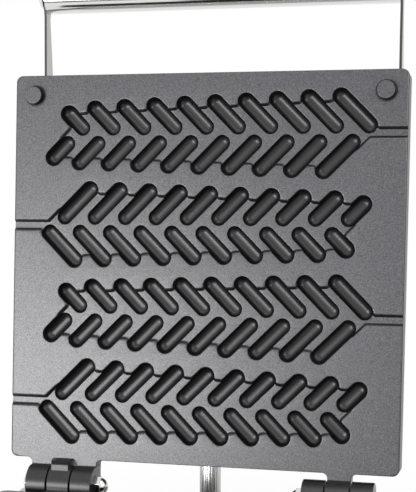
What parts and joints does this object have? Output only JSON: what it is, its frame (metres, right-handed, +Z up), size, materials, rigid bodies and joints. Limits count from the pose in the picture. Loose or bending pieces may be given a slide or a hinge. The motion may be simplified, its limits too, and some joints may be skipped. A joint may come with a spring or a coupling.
{
  "type": "waffle stick maker",
  "caption": "Countertop waffle stick maker with a hinged cast lid, tree-shaped waffle cavities with stick channels, a tube handle and a stainless base.",
  "frame": {"origin": "on the surface that the feet stand on, under the middle of the open machine's bounding box", "axes": "+X to the right as seen by a user in front of the controls, -Y towards that user, +Z up; the lid hinge runs along X"},
  "size_m": [0.34, 0.4905, 0.5754],
  "materials": {
    "coated_casting": "orange-peel dark grey non-stick coating on cast aluminium",
    "stainless_sheet": "brushed stainless sheet",
    "polished_steel": "polished stainless",
    "zinc_steel": "bright zinc plate",
    "conduit_sleeve": "satin steel sleeve",
    "rubber": "matt black rubber",
    "black_plastic": "fine-textured black",
    "switch_plastic": "gloss black",
    "green_lens": "clear green",
    "amber_lens": "clear amber",
    "heater_sheath": "oxidised steel sheath",
    "ceramic": "glazed ceramic",
    "ceramic_fibre": "needled fibre pad"
  },
  "bodies": {
    "base": {"back_panel": "stainless_sheet", "base_housing": "stainless_sheet", "bottom_cover": "stainless_sheet", "conduit": "conduit_sleeve", "conduit_base_union": "zinc_steel", "control_panel": "stainless_sheet", "feet": "rubber", "foot_bolts": "zinc_steel", "heating_lamp_holder": "black_plastic", "heating_lamp_lens": "amber_lens", "hinge_dome_nuts": "polished_steel", "hinge_pins": "polished_steel", "lower_clamp_studs": "zinc_steel", "lower_element_clamps": "zinc_steel", "lower_heating_element": "heater_sheath", "lower_insulation": "ceramic_fibre", "lower_plate": "coated_casting", "lower_shell": "stainless_sheet", "lower_shell_posts": "zinc_steel", "lower_shell_screws": "polished_steel", "mains_gland": "black_plastic", "panel_brackets": "stainless_sheet", "panel_screws": "polished_steel", "power_lamp_holder": "black_plastic", "power_lamp_lens": "green_lens", "power_switch_body": "black_plastic", "support_rails": "zinc_steel", "terminal_block": "ceramic", "thermostat_body": "black_plastic", "thermostat_bulb": "zinc_steel", "timer_body": "black_plastic"},
    "lid": {"handle_end_bolts": "polished_steel", "handle_strap_bolts": "polished_steel", "handle_strap_left": "stainless_sheet", "handle_strap_right": "stainless_sheet", "handle_tube": "polished_steel", "upper_clamp_studs": "zinc_steel", "upper_element_clamps": "zinc_steel", "upper_heating_element": "heater_sheath", "upper_insulation": "ceramic_fibre", "upper_plate": "coated_casting", "upper_shell": "stainless_sheet", "upper_shell_posts": "zinc_steel", "upper_shell_screws": "polished_steel", "conduit_lid_union": "zinc_steel"},
    "temperature_control": {"thermostat_spindle": "zinc_steel", "temperature_knob": "black_plastic"},
    "timer_control": {"timer_spindle": "zinc_steel", "timer_knob": "black_plastic"},
    "power_rocker": {"power_rocker": "switch_plastic"}
  },
  "joints": [
    {"name": "lid_hinge", "type": "hinge", "parent": "base", "child": "lid", "pos_m": [0, 0.11713, 0.2], "axis": [1, 0, 0], "range_deg": [0, 102], "deforming": ["conduit"]},
    {"name": "temperature_dial", "type": "hinge", "parent": "base", "child": "temperature_control", "pos_m": [-0.098, -0.22145, 0.10921], "axis": [0, 0.9648, -0.2631], "range_deg": [0, 270]},
    {"name": "timer_dial", "type": "hinge", "parent": "base", "child": "timer_control", "pos_m": [0.002, -0.22145, 0.10921], "axis": [0, 0.9648, -0.2631], "range_deg": [0, 300]},
    {"name": "power_rocker_tilt", "type": "hinge", "parent": "base", "child": "power_rocker", "pos_m": [0.098, -0.22158, 0.10303], "axis": [-1, 0, 0], "range_deg": [0, 22]}
  ]
}
